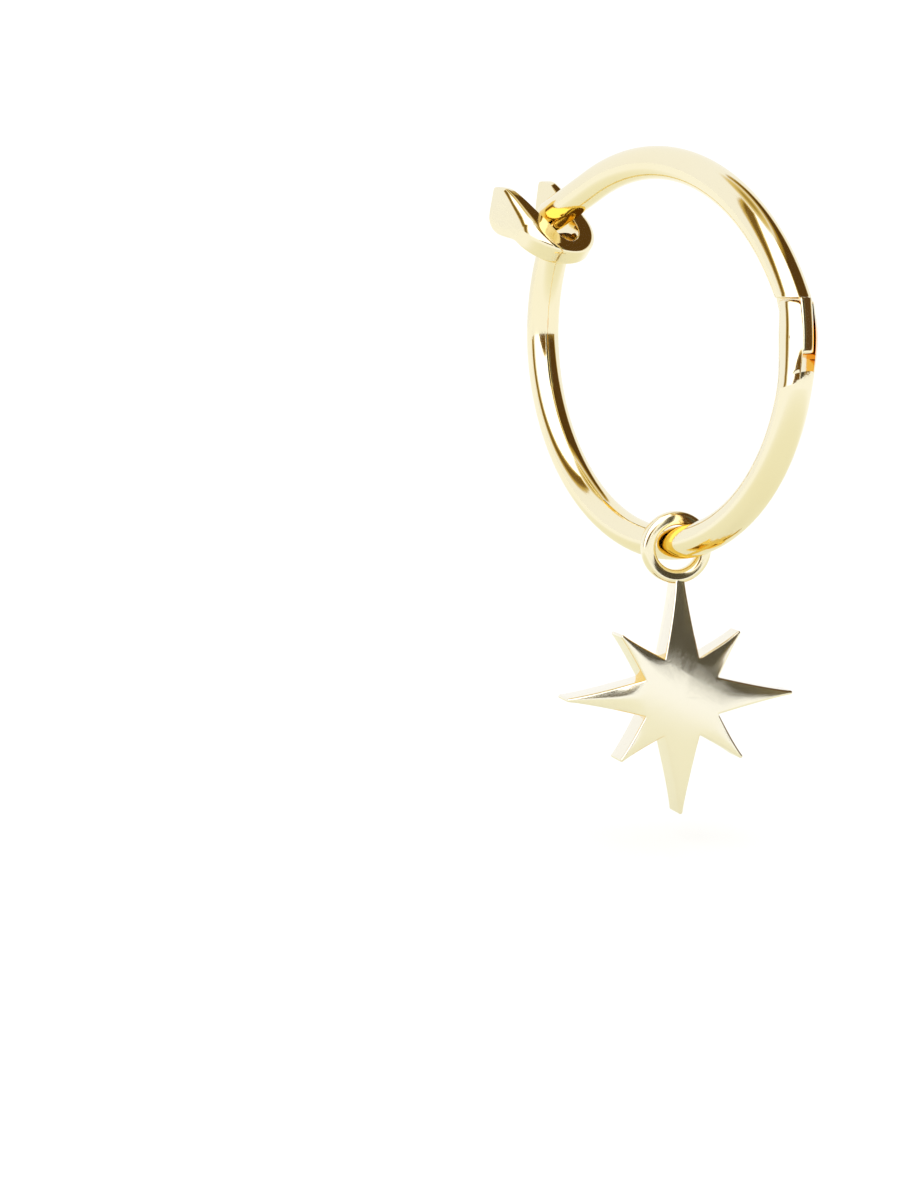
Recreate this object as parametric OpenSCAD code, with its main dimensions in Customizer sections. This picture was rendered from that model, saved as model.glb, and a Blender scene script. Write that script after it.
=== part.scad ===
// Hinged hoop earring with a star charm, in millimetres.
// The hoop stands in the XZ plane: hinge towards +X, catch towards -X, +Z up.
// The origin is the wire's centre line at the top of the post, where the ear lobe carries it.
// Angles on the hoop are in degrees, anticlockwise from +X as seen from the -Y side.

/* [Hoop] */
// Thickness of the round wire
wire_d = 1.05; // [0.95:0.05:1.15]
// Radius of the lower arc's centre line
hoop_r = 6.5; // [6.3:0.1:7]
// Radius of the post arc's centre line, which is flatter than the hoop
post_r = 7.75; // [7.5:0.05:8]

/* [Hinge] */
// Angle of the pin on the hoop
pin_a = 1; // [0:0.5:2]
// Thickness of the pin
pin_d = 0.5; // [0.4:0.05:0.55]
// Thickness of the two cheeks together, across the slot
barrel_d = 1.18; // [1.18:0.01:1.25]
// Width of the slot between the cheeks
slot_w = 0.5; // [0.45:0.01:0.55]
// Radius of the cheeks' rounded tops about the pin
cheek_r = 1.13; // [1.1:0.01:1.2]
// Length of the tongue's knuckle below the pin
knuckle_foot = 0.5; // [0.45:0.01:0.6]

/* [Catch] */
// Angle of the catch's foot on the hoop
catch_a = 150.7; // [150:0.1:151.5]
// Height of the catch's wings above its foot
wing_h = 3.55; // [3.3:0.05:3.7]
// Widest stretch of the two wings together
wing_w = 2.75; // [2.6:0.05:2.9]
// Roll of the catch about the post, towards the -Y side
roll_a = 9; // [0:1:12]
// Half angle of the vee that guides the post in
vee_a = 9; // [8:0.5:10]
// Thickness of metal under the vee's round floor
floor_t = 0.5; // [0.4:0.05:0.55]

/* [Charm] */
// Angle on the hoop where the charm hangs
charm_a = -84; // [-90:1:-80]
// Turn of the charm about the vertical, from square to the wire
swivel = 21; // [10:1:24]
// Hole of the jump ring
ring_hole = 1.4; // [1.35:0.05:1.5]
// Thickness of the jump ring's wire
ring_w = 0.55; // [0.5:0.05:0.6]
// Length of the four main points from the star's centre
star_main = 3.75; // [3.5:0.05:4]
// Length of the four diagonal points from the star's centre
star_diag = 2.82; // [2.6:0.02:3]
// Distance of the notches between the points from the star's centre
star_notch = 1.35; // [1.2:0.05:1.5]
// Thickness of the star in the middle
star_t = 1.2; // [1:0.05:1.3]

/* [Hidden] */
$fn = 96;

// Clearances between pieces that move on each other
pin_fit = 0.015;
eye_fit = 0.03;
slot_fit = 0.03;
shoulder_gap = 0.05;
seat_gap = 0.04;
hang_gap = 0.05;

// The post circle crosses the hoop circle at these two angles
meet_hinge = 8;
meet_catch = 142;
meet_mid = (meet_hinge + meet_catch) / 2;
meet_half = (meet_catch - meet_hinge) / 2;
chord_half = hoop_r * sin(meet_half);
chord_in = hoop_r * cos(meet_half);
post_off = chord_in - sqrt(post_r * post_r - chord_half * chord_half);

// Centres of the two circles as [x, z], with the top of the post circle at the origin
post_c = [0, -post_r];
hoop_c = post_c - post_off * [cos(meet_mid), sin(meet_mid)];

// Direction at an angle, and places on the two circles, all as [x, z]
function way(a) = [cos(a), sin(a)];
function on_hoop(a) = hoop_c + hoop_r * way(a);
function on_post(a) = post_c + post_r * way(a);

// Hinge: the wire below the slot ends a little under the cheeks' round foot
pin_at = on_hoop(pin_a);
shoulder = cheek_r + shoulder_gap;
barrel_from = -13;
barrel_to = 14;
tongue_w = slot_w - 2 * slot_fit;
tongue_root = 32;
neck_half = 0.44;
knuckle_top = shoulder + 0.02;
post_from = 12;

// Post: the arc runs to this angle, goes on straight and a hair thinner, and ends in a round tip
bend_to = 113;
straight = 2.5;
straight_lap = 0.1;
straight_d = wire_d - 0.01;
tip_d = wire_d - 0.02;

// Catch: its frame stands on the foot, leaning from the hoop's radius towards the post
foot_r = 5.42;
lean_a = 13.2;
rise_a = catch_a - lean_a;
foot = hoop_c + foot_r * way(catch_a);

// Vee with a round floor: its walls clear the post where the post lies, by the seat's gap
seat_r = wire_d / 2 + seat_gap;
seat_h = 1.54;
floor_r = (seat_r - (seat_h - floor_t) * sin(vee_a)) / (1 - sin(vee_a));
floor_h = floor_t + floor_r;

// Outside of the catch: a round belly, then sides that lean in by this angle
belly_r = wing_w / 2;
side_a = 7;
catch_len = 6;

// Side outline of the catch: discs as [along the wire, up from the foot, radius]
throat = [-0.3, 1.45, 0.5];
wing_discs = [throat, [-0.18, wing_h - 0.38, 0.38], [-1, wing_h - 0.98, 0.38]];
cup_discs = [[-0.3, 0.38, 0.38], throat];

// The lower arc's wire ends here, and solder fills the catch behind it
wire_end_a = 152.5;
solder_back = 2;
solder_bottom = 4.5;
solder_top = 6.6;

// Charm: the ring hangs on the wire's upper side, and the star hangs from the ring
hang_at = on_hoop(charm_a);
ring_r = (ring_hole + ring_w) / 2;
ring_drop = (ring_hole - wire_d) / 2 - hang_gap;
star_in = 0.12;
star_drop = ring_r + star_main - star_in;
notch_a = 25.5;
tip_half = 0.06;
top_half = 0.17;
dome_r = 20;

// Lays a shape drawn in X and Y upright into the XZ plane, its height towards -Y
module upright()
{
    rotate([90, 0, 0]) children();
}

// A plate of the given width across Y, cut to a flat outline in [x, z]
module plate(width)
{
    upright() linear_extrude(height = width, center = true) children();
}

// A round bar bent along a circle, from one angle to another
module bent_bar(centre, radius, from, to, d)
{
    upright()
        translate([centre[0], centre[1], 0])
            rotate([0, 0, from])
                rotate_extrude(angle = to - from)
                    translate([radius, 0])
                        circle(d = d);
}

// A straight round bar across Y through a place on the hinge
module cross_bar(at, r, length)
{
    translate([at[0], 0, at[1]])
        rotate([90, 0, 0])
            cylinder(r = r, h = length, center = true);
}

// The outer side of the tangent from one disc to the next, going anticlockwise
function tangent_way(a, b) =
    let (d = [b[0] - a[0], b[1] - a[1]], l = norm(d), s = (a[2] - b[2]) / l)
    s * d / l + sqrt(1 - s * s) * [d[1], -d[0]] / l;

// The convex outline round a ring of discs, as true arcs and straight tangents
module round_outline(discs)
{
    n = len(discs);
    corners = [
        for (i = [0 : n - 1])
            let (a = discs[i], b = discs[(i + 1) % n], w = tangent_way(a, b))
            each [[a[0], a[1]] + a[2] * w, [b[0], b[1]] + b[2] * w]
    ];
    polygon(corners);
    for (disc = discs)
        translate([disc[0], disc[1]]) circle(r = disc[2]);
}

// A vee with a round floor about the origin, its sides leaning out, or in where half is negative
module vee(r, half, top)
{
    foot = r * [cos(half), -sin(half)];
    rise = (top - foot[1]) / cos(half);
    head = foot + rise * [sin(half), cos(half)];
    circle(r = r);
    polygon([foot, head, [-head[0], head[1]], [-foot[0], foot[1]]]);
}

// Runs a profile drawn across Y and upwards from the foot along the catch
module along_catch()
{
    translate([foot[0], 0, foot[1]])
        rotate([0, 180 - rise_a, 0])
            rotate([0, 0, 90])
                linear_extrude(height = catch_len, center = true)
                    translate([0, seat_h])
                        rotate(roll_a)
                            translate([0, -seat_h])
                                children();
}

// The saddle: two wings that rise from a round cup, solid behind the wire's end
module catch_saddle()
{
    width = 4;
    intersection()
    {
        plate(width)
            translate(foot)
                rotate(rise_a - 90)
                {
                    round_outline(wing_discs);
                    round_outline(cup_discs);
                }
        union()
        {
            along_catch()
                difference()
                {
                    translate([0, belly_r]) vee(belly_r, -side_a, wing_h);
                    translate([0, floor_h]) vee(floor_r, vee_a, 2 * wing_h);
                }
            intersection()
            {
                along_catch() translate([0, belly_r]) vee(belly_r, -side_a, wing_h);
                plate(width)
                    translate(hoop_c)
                        rotate(wire_end_a - 90)
                            translate([-solder_back, solder_bottom])
                                square([solder_back, solder_top - solder_bottom]);
            }
        }
    }
}

// The thicker stretch at the hinge, with a top that is round about the pin
module hinge_barrel(d)
{
    keep = 3;
    intersection()
    {
        bent_bar(hoop_c, hoop_r, barrel_from, barrel_to, d);
        union()
        {
            cross_bar(pin_at, cheek_r, keep);
            translate([pin_at[0], 0, pin_at[1]])
                rotate([0, -pin_a, 0])
                    translate([0, 0, -keep])
                        cube(2 * keep, center = true);
        }
    }
}

// Lower arc with the two hinge cheeks and the soldered catch
module lower_hoop()
{
    color([0.93, 0.79, 0.46])
    difference()
    {
        union()
        {
            bent_bar(hoop_c, hoop_r, wire_end_a - 360, barrel_from + 6, wire_d);
            hinge_barrel(barrel_d);
            catch_saddle();
        }
        cross_bar(pin_at, cheek_r + 0.01, slot_w);
        cross_bar(pin_at, pin_d / 2 + pin_fit, 2 * barrel_d);
    }
}

// Post that goes through the lobe: a bent wire, a round tip, and a tongue whose knuckle is flush
// with the lower wire's sides
module post_arc()
{
    bend = on_post(bend_to);
    ahead = way(bend_to + 90);
    tip = bend + straight * ahead;
    root = on_post(tongue_root);
    lean = atan2(root[1] - pin_at[1], root[0] - pin_at[0]);
    keep = 30;
    color([0.96, 0.86, 0.6])
    difference()
    {
        union()
        {
            intersection()
            {
                bent_bar(post_c, post_r, post_from, bend_to, wire_d);
                translate([pin_at[0], 0, pin_at[1]])
                    rotate([0, -pin_a, 0])
                        translate([0, 0, shoulder + keep / 2])
                            cube(keep, center = true);
            }
            translate([bend[0], 0, bend[1]])
                rotate([0, atan2(ahead[0], ahead[1]), 0])
                    translate([0, 0, -straight_lap])
                        cylinder(d = straight_d, h = straight + straight_lap);
            translate([tip[0], 0, tip[1]]) sphere(d = tip_d);
            plate(tongue_w)
                translate(pin_at)
                    rotate(lean)
                        translate([0, -neck_half])
                            square([norm(root - pin_at), 2 * neck_half]);
            intersection()
            {
                bent_bar(hoop_c, hoop_r, barrel_from, barrel_to, wire_d);
                plate(tongue_w)
                    translate(pin_at)
                        rotate(pin_a)
                            translate([-wire_d, -knuckle_foot])
                                square([2 * wire_d, knuckle_foot + knuckle_top]);
            }
        }
        cross_bar(pin_at, pin_d / 2 + eye_fit, 2 * barrel_d);
    }
}

// Rivet pin, dressed flush with the cheeks
module hinge_pin()
{
    color([0.85, 0.68, 0.32])
    intersection()
    {
        cross_bar(pin_at, pin_d / 2, 2 * barrel_d);
        bent_bar(hoop_c, hoop_r, barrel_from, barrel_to, barrel_d);
    }
}

// The star's outline: for each point a blunt tip of two corners, then a notch
function star_corners() = [
    for (i = [0 : 7])
        let (
            a = 90 - 45 * i,
            main = i % 2 == 0,
            reach = main ? star_main : star_diag,
            half = i == 0 ? top_half : tip_half,
            side = [sin(a), -cos(a)],
            notch = main ? a - notch_a : a - 45 + notch_a
        )
        each [reach * way(a) - half * side, reach * way(a) + half * side, star_notch * way(notch)]
];

// Jump ring with the star soldered under it, in one plane
module star_charm()
{
    color([0.95, 0.88, 0.68])
    translate([hang_at[0], 0, hang_at[1] - ring_drop])
        rotate([0, 0, 90 - swivel])
            upright()
            {
                rotate_extrude()
                    translate([ring_r, 0])
                        circle(d = ring_w);
                translate([0, -star_drop, 0])
                    intersection()
                    {
                        linear_extrude(height = star_t, center = true) polygon(star_corners());
                        translate([0, 0, star_t / 2 - dome_r]) sphere(r = dome_r);
                    }
            }
}

lower_hoop();
post_arc();
hinge_pin();
star_charm();
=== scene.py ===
"""Polished gold hinged hoop earring with a star charm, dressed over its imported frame.

Lengths in the classes are millimetres and angles are degrees; meshes are made in metres.
The hoop stands in the XZ plane: hinge towards +X, catch towards -X, +Z up.
"""

import logging
import math
from dataclasses import dataclass
from enum import Enum

import bpy
import numpy as np
from mathutils import Matrix, Vector

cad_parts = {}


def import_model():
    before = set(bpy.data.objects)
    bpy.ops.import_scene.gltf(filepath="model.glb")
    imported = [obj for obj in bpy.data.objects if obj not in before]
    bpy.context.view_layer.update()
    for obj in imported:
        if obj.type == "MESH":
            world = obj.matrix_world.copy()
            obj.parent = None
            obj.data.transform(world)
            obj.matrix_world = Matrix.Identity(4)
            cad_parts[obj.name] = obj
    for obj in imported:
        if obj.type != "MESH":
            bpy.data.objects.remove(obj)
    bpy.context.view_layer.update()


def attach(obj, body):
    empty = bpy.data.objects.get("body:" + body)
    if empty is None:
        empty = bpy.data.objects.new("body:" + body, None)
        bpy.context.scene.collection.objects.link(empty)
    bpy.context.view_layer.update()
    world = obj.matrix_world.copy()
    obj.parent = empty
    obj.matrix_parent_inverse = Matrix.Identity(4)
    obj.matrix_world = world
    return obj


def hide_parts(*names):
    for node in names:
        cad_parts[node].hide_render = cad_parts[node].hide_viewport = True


LOG = logging.getLogger("hoop_earring")
MM = 0.001
PHOTO_SIZE = (900, 1200)
FINE_CREASE = 30.0
STAR_POINTS = 8
POINT_A = 360.0 / STAR_POINTS

# Noises of the hand polish, each as cells in a unit, finer layers and the share that each layer keeps.
RIPPLE_NOISE = (420.0, 2.0, 0.4)
PIT_NOISE = (9000.0, 1.0, 0.5)
TONE_NOISE = (160.0, 2.0, 0.5)
HAIR_NOISE = (1.0, 3.0, 0.6)
# How the scratches are stretched over the map, how thin they are, and the noise value that pits start at.
HAIR_STRETCH = (0.35, 26.0, 1.0)
HAIR_THIN = 28.0
PIT_FROM = 0.62

Socket = bpy.types.NodeSocket
Arrays = tuple[np.ndarray, np.ndarray]
Pair = tuple[float, float]
Colour = tuple[float, float, float]


def unit(angle: float) -> np.ndarray:
    """Unit vector (cos, sin) at an angle in degrees."""
    return np.array([math.cos(math.radians(angle)), math.sin(math.radians(angle))])


def turns(count: int) -> np.ndarray:
    """Even angles in radians round a full turn, from 0 and without its end."""
    return np.linspace(0.0, 2 * np.pi, count, endpoint=False)


def quarter(count: int) -> np.ndarray:
    """Even angles in radians over a quarter turn, both ends included."""
    return np.linspace(0.0, np.pi / 2, count)


def smooth_step(x: np.ndarray) -> np.ndarray:
    """Rises smoothly from 0 to 1 as x goes from 0 to 1: 3x^2 - 2x^3, clamped outside."""
    t = np.clip(x, 0.0, 1.0)
    return t * t * (3.0 - 2.0 * t)


def superellipse(theta: np.ndarray, power: float) -> Arrays:
    """Point of a unit superellipse: cos and sin of theta, each raised to 2/power with its sign kept.

    Args:
        theta: Angles in radians.
        power: 2 gives a circle, larger values a squarer section.

    Returns:
        The two coordinates.
    """
    c, s = np.cos(theta), np.sin(theta)
    n = 2.0 / power
    return np.sign(c) * np.abs(c) ** n, np.sign(s) * np.abs(s) ** n


def ring_map(points: np.ndarray) -> np.ndarray:
    """Surface map of a grid: u is the distance along the rows' mean line, v the distance round each row.

    Args:
        points: Array of rows, columns and x, y, z.

    Returns:
        Array of rows, columns and u, v in the same unit.
    """
    along = np.r_[0.0, np.cumsum(np.linalg.norm(np.diff(points.mean(1), axis=0), axis=1))]
    step = np.linalg.norm(np.diff(points, axis=1), axis=2)
    around = np.c_[np.zeros(len(points)), np.cumsum(step, axis=1)]
    return np.stack([np.broadcast_to(along[:, None], around.shape), around], -1)


class Ends(Enum):
    """How a grid's first and last rows are closed: each by a fan, or joined to each other."""

    FAN = "fan"
    JOINED = "joined"


def grid_mesh(name: str, points: np.ndarray, ends: Ends = Ends.FAN, crease: float = 38.0) -> bpy.types.Object:
    """Makes a closed mesh from a grid of points whose columns wrap round.

    Quads join (i, j), (i+1, j), (i+1, j+1), (i, j+1), with row i, column j and j taken round the ring. A
    fan joins an end row to its mean, and such a mesh gets the surface map. The faces are turned so that
    the volume, the sum of p0 . (p1 x p2) / 6 over the triangles, is positive.

    Args:
        name: Name of the object.
        points: Array of rows, columns and x, y, z in millimetres.
        ends: How the first and last rows are closed.
        crease: Edges sharper than this angle in degrees stay sharp.

    Returns:
        The object, linked to the scene.
    """
    rows, cols = points.shape[:2]
    index = np.arange(rows * cols).reshape(rows, cols)
    fan = ends is Ends.FAN
    lower, upper = (index[:-1], index[1:]) if fan else (index, np.roll(index, -1, 0))
    quads = np.stack([lower, upper, np.roll(upper, -1, 1), np.roll(lower, -1, 1)], -1).reshape(-1, 4)
    verts = points.reshape(-1, 3)
    tris = np.zeros((0, 3), int)
    if fan:
        verts = np.vstack([verts, points[0].mean(0), points[-1].mean(0)])
        first, last = index[0], index[-1]
        low = np.stack([np.full(cols, rows * cols), first, np.roll(first, -1)], -1)
        high = np.stack([np.full(cols, rows * cols + 1), np.roll(last, -1), last], -1)
        tris = np.vstack([low, high])
    corner = verts[np.vstack([quads[:, [0, 1, 2]], quads[:, [0, 2, 3]], tris])]
    if np.einsum("ij,ij->", corner[:, 0], np.cross(corner[:, 1], corner[:, 2])) < 0:
        quads, tris = quads[:, ::-1], tris[:, ::-1]
    mesh = bpy.data.meshes.new(name)
    mesh.vertices.add(len(verts))
    mesh.vertices.foreach_set("co", (verts * MM).astype(np.float32).ravel())
    loops = np.r_[quads.ravel(), tris.ravel()].astype(np.int32)
    starts = np.r_[np.arange(len(quads)) * 4, len(quads) * 4 + np.arange(len(tris)) * 3]
    mesh.loops.add(len(loops))
    mesh.loops.foreach_set("vertex_index", loops)
    mesh.polygons.add(len(starts))
    mesh.polygons.foreach_set("loop_start", starts.astype(np.int32))
    mesh.update(calc_edges=True)
    mesh.validate()
    mesh.polygons.foreach_set("use_smooth", np.ones(len(mesh.polygons), bool))
    mesh.set_sharp_from_angle(angle=math.radians(crease))
    if fan:
        uv = ring_map(points)
        flat = np.vstack([uv.reshape(-1, 2), uv[0].mean(0), uv[-1].mean(0)])
        layer = mesh.uv_layers.new(name="surface")
        at = np.zeros(len(mesh.loops), np.int32)
        mesh.loops.foreach_get("vertex_index", at)
        layer.data.foreach_set("uv", flat[at].astype(np.float32).ravel())
    made = bpy.data.objects.new(name, mesh)
    bpy.context.scene.collection.objects.link(made)
    return made


@dataclass(frozen=True)
class ArcFrame:
    """A circle in the XZ plane that wires are bent along."""

    centre: np.ndarray
    radius: float

    def place(self, angle: np.ndarray | float, out: np.ndarray, side: np.ndarray) -> np.ndarray:
        """Point at an angle on the circle, moved outwards in the plane and sideways along Y.

        The point is centre + (radius + out) (cos, sin) in X and Z, with y = -side.

        Args:
            angle: Angles in degrees.
            out: Distance outwards from the circle.
            side: Distance towards -Y.

        Returns:
            Array of points.
        """
        a = np.radians(angle)
        r = self.radius + out
        x, z = self.centre[0] + r * np.cos(a), self.centre[1] + r * np.sin(a)
        return np.stack(np.broadcast_arrays(x, -side, z), -1)

    def at(self, angle: float) -> np.ndarray:
        """Point [x, z] on the circle at an angle in degrees."""
        return self.centre + self.radius * unit(angle)


@dataclass(frozen=True)
class HoopLayout:
    """The driving sizes that every piece of the earring shares."""

    wire_d: float = 1.05
    hoop_r: float = 6.5
    post_r: float = 7.75
    meet_hinge: float = 8.0
    meet_catch: float = 142.0
    pin_a: float = 1.0

    @property
    def post(self) -> ArcFrame:
        """Circle of the post arc, whose top is the origin."""
        return ArcFrame(np.array([0.0, -self.post_r]), self.post_r)

    @property
    def hoop(self) -> ArcFrame:
        """Circle of the lower arc, which the post's circle crosses at the two meeting angles.

        Returns:
            The circle, its centre moved off the post's along the meeting angles' middle.
        """
        middle = (self.meet_hinge + self.meet_catch) / 2
        half = math.radians((self.meet_catch - self.meet_hinge) / 2)
        chord = self.hoop_r * math.sin(half)
        gap = self.hoop_r * math.cos(half) - math.sqrt(self.post_r**2 - chord**2)
        return ArcFrame(self.post.centre - gap * unit(middle), self.hoop_r)

    @property
    def pin(self) -> np.ndarray:
        """Place [x, z] of the hinge pin."""
        return self.hoop.at(self.pin_a)

    def above_pin(self, height: np.ndarray | float, arc: ArcFrame, out: np.ndarray) -> np.ndarray:
        """Angle on an arc at which a line beside it reaches a height above the pin, square to the hoop.

        Along the hoop's direction t at the pin, (p - pin) . t = height is solved for the angle:
        sin(angle - pin_a) = (height + (pin - centre) . t) / (radius + out).

        Args:
            height: Distance above the pin along the hoop.
            arc: Circle that carries the line.
            out: Distance of the line outwards from the circle.

        Returns:
            Angles in degrees.
        """
        lift = float((self.pin - arc.centre) @ unit(self.pin_a + 90.0))
        return self.pin_a + np.degrees(np.arcsin((height + lift) / (arc.radius + out)))


@dataclass
class NodeKit:
    """Short hands for filling one node tree."""

    tree: bpy.types.NodeTree

    def add(self, kind: str, **values: object) -> bpy.types.Node:
        """Adds a shader node.

        Args:
            kind: Its type, without the leading ShaderNode.
            **values: Attributes to set.

        Returns:
            The node.
        """
        node = self.tree.nodes.new(f"ShaderNode{kind}")
        for key, value in values.items():
            setattr(node, key, value)
        return node

    def set(self, node: bpy.types.Node, **values: object) -> None:
        """Sets a node's input sockets by name, with underscores for spaces."""
        for key, value in values.items():
            node.inputs[key.replace("_", " ")].default_value = value

    def link(self, source: Socket, target: Socket) -> None:
        """Joins an output socket to an input socket."""
        self.tree.links.new(source, target)

    def math(self, kind: str, *parts: Socket | float) -> Socket:
        """Adds a math node.

        Args:
            kind: Its operation.
            *parts: Its sockets or numbers, in order.

        Returns:
            The output socket.
        """
        node = self.add("Math", operation=kind)
        for part, target in zip(parts, node.inputs):
            if isinstance(part, (int, float)):
                target.default_value = part
            else:
                self.link(part, target)
        return node.outputs[0]

    def ease(self, source: Socket, low: float, high: float) -> Socket:
        """Adds a smooth step.

        Args:
            source: Socket that drives it.
            low: Value that gives 0.
            high: Value that gives 1.

        Returns:
            The output socket.
        """
        node = self.add("MapRange", interpolation_type="SMOOTHSTEP")
        self.set(node, From_Min=low, From_Max=high)
        self.link(source, node.inputs["Value"])
        return node.outputs["Result"]

    def noise(self, vector: Socket, scale: float, detail: float, rough: float) -> Socket:
        """Adds a noise texture.

        Args:
            vector: Socket of the place.
            scale: Cells in one unit.
            detail: Finer layers added.
            rough: Share that each layer keeps.

        Returns:
            The value's socket.
        """
        node = self.add("TexNoise", noise_dimensions="3D")
        self.set(node, Scale=scale, Detail=detail, Roughness=rough)
        self.link(vector, node.inputs["Vector"])
        return node.outputs["Fac"]

    def colour(self, value: Colour) -> Socket:
        """Adds a plain colour.

        Args:
            value: Red, green and blue.

        Returns:
            The colour's socket.
        """
        node = self.add("RGB")
        node.outputs[0].default_value = (*value, 1.0)
        return node.outputs[0]

    def blend(self, under: Socket, colour: Colour, share: Socket) -> Socket:
        """Lays a colour over another.

        Args:
            under: Socket of the colour below.
            colour: Colour laid over it.
            share: Socket of how much of it shows.

        Returns:
            The colour's socket.
        """
        node = self.add("Mix", data_type="RGBA")
        below, above = [i for i in node.inputs if i.type == "RGBA"]
        self.link(under, below)
        above.default_value = (*colour, 1.0)
        self.link(share, node.inputs["Factor"])
        return next(o for o in node.outputs if o.type == "RGBA")


def polish_group() -> bpy.types.ShaderNodeTree:
    """Node group of a hand-polished surface: its height, a wear mask and a tone mask.

    The height adds slow ripples of the polishing wheel, fine pits and long hairline scratches. Scratches
    are noise stretched along the U of the piece's own map, kept only near its middle value.

    Returns:
        The group, with inputs Vector, Map, Ripple, Hairline and Pits, and outputs Height, Wear and Tone.
    """
    name = "hand_polish"
    if name in bpy.data.node_groups:
        return bpy.data.node_groups[name]
    group = bpy.data.node_groups.new(name, "ShaderNodeTree")
    for way, kind, labels in (("INPUT", "Vector", ("Vector", "Map")),
                              ("INPUT", "Float", ("Ripple", "Hairline", "Pits")),
                              ("OUTPUT", "Float", ("Height", "Wear", "Tone"))):
        for label in labels:
            group.interface.new_socket(label, in_out=way, socket_type=f"NodeSocket{kind}")
    kit = NodeKit(group)
    given = group.nodes.new("NodeGroupInput").outputs
    ripple = kit.noise(given["Vector"], *RIPPLE_NOISE)
    pits = kit.noise(given["Vector"], *PIT_NOISE)
    tone = kit.noise(given["Vector"], *TONE_NOISE)
    stretch = kit.add("Mapping", vector_type="POINT")
    kit.set(stretch, Scale=HAIR_STRETCH)
    kit.link(given["Map"], stretch.inputs["Vector"])
    drawn = kit.noise(stretch.outputs["Vector"], *HAIR_NOISE)
    off_middle = kit.math("ABSOLUTE", kit.math("SUBTRACT", drawn, 0.5))
    hair = kit.math("MAXIMUM", kit.math("SUBTRACT", 1.0, kit.math("MULTIPLY", off_middle, HAIR_THIN)), 0.0)
    pit = kit.math("MAXIMUM", kit.math("SUBTRACT", pits, PIT_FROM), 0.0)
    height = kit.math("MULTIPLY", ripple, given["Ripple"])
    for mark, depth in ((hair, "Hairline"), (pit, "Pits")):
        height = kit.math("SUBTRACT", height, kit.math("MULTIPLY", mark, given[depth]))
    result = group.nodes.new("NodeGroupOutput").inputs
    for label, value in (("Height", height), ("Wear", hair), ("Tone", tone)):
        kit.link(value, result[label])
    return group


@dataclass(frozen=True)
class GoldFinish:
    """Polished gold plate: pale where the studio is seen in it, deep where gold is seen in gold.

    Metal filed by hand also leans up by lift: fully below the first height of rise over lift_z, not at all
    above the second, and levelled out again between the two heights of foot. These are in metres.
    """

    name: str
    pale: Colour = (0.925, 0.86, 0.655)
    warm: Colour = (0.915, 0.835, 0.59)
    # Painted reflection colour: used only where this gold is seen mirrored in another gold surface.
    deep: Colour = (0.93, 0.64, 0.12)
    tone: Pair = (0.35, 0.75)
    metallic: float = 1.0
    roughness: float = 0.03
    worn: float = 0.08
    ripple: float = 0.25
    hairline: float = 0.012
    pits: float = 0.10
    bump: float = 0.00001
    lift: float = 0.0
    lift_z: float = 0.0
    rise: Pair = (-0.0004, 0.0010)
    foot: Pair = (-0.00160, -0.00130)

    def material(self) -> bpy.types.Material:
        """Builds the material, or finds the one already built under this name.

        Returns:
            The material.
        """
        if self.name in bpy.data.materials:
            return bpy.data.materials[self.name]
        made = bpy.data.materials.new(self.name)
        made.use_nodes = True
        made.node_tree.nodes.clear()
        kit = NodeKit(made.node_tree)
        shade = kit.add("BsdfPrincipled")
        kit.set(shade, Metallic=self.metallic)
        place = kit.add("TexCoord").outputs["Object"]
        polish = kit.add("Group", node_tree=polish_group())
        kit.set(polish, Ripple=self.ripple, Hairline=self.hairline, Pits=self.pits)
        kit.link(place, polish.inputs["Vector"])
        kit.link(kit.add("UVMap", uv_map="surface").outputs["UV"], polish.inputs["Map"])
        tint = kit.blend(kit.colour(self.pale), self.warm, kit.ease(polish.outputs["Tone"], *self.tone))
        again = kit.add("LightPath").outputs["Is Glossy Ray"]
        # Painted reflection colour: mirrored rays see the deep colour, so gold seen in gold reads deeper than
        # the metal's own tint.
        kit.link(kit.blend(tint, self.deep, again), shade.inputs["Base Color"])
        worn = kit.math("MULTIPLY", polish.outputs["Wear"], self.worn)
        kit.link(kit.math("ADD", worn, self.roughness), shade.inputs["Roughness"])
        bump = kit.add("Bump")
        kit.set(bump, Strength=1.0, Distance=self.bump)
        kit.link(polish.outputs["Height"], bump.inputs["Height"])
        normal = bump.outputs["Normal"]
        if self.lift:
            normal = self._lifted(kit, place, normal)
        kit.link(normal, shade.inputs["Normal"])
        kit.link(shade.outputs["BSDF"], kit.add("OutputMaterial").inputs["Surface"])
        return made

    def _lifted(self, kit: NodeKit, place: Socket, normal: Socket) -> Socket:
        """Normal that leans up, unit(n + k z), with k the lift times its two smooth steps over the height.

        Args:
            kit: Node tree to add to.
            place: Socket of the Object coordinates.
            normal: Socket of the normal.

        Returns:
            The normal's socket.
        """
        parts = kit.add("SeparateXYZ")
        kit.link(place, parts.inputs["Vector"])
        high = kit.math("SUBTRACT", parts.outputs["Z"], self.lift_z)
        grow = kit.math("SUBTRACT", 1.0, kit.ease(high, *self.rise))
        size = kit.math("MULTIPLY", kit.math("MULTIPLY", grow, kit.ease(high, *self.foot)), self.lift)
        up = kit.add("CombineXYZ")
        kit.link(size, up.inputs["Z"])
        turned = kit.add("VectorTransform", vector_type="VECTOR", convert_from="OBJECT", convert_to="WORLD")
        kit.link(up.outputs["Vector"], turned.inputs["Vector"])
        total = kit.add("VectorMath", operation="ADD")
        kit.link(normal, total.inputs[0])
        kit.link(turned.outputs["Vector"], total.inputs[1])
        level = kit.add("VectorMath", operation="NORMALIZE")
        kit.link(total.outputs["Vector"], level.inputs[0])
        return level.outputs["Vector"]


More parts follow.
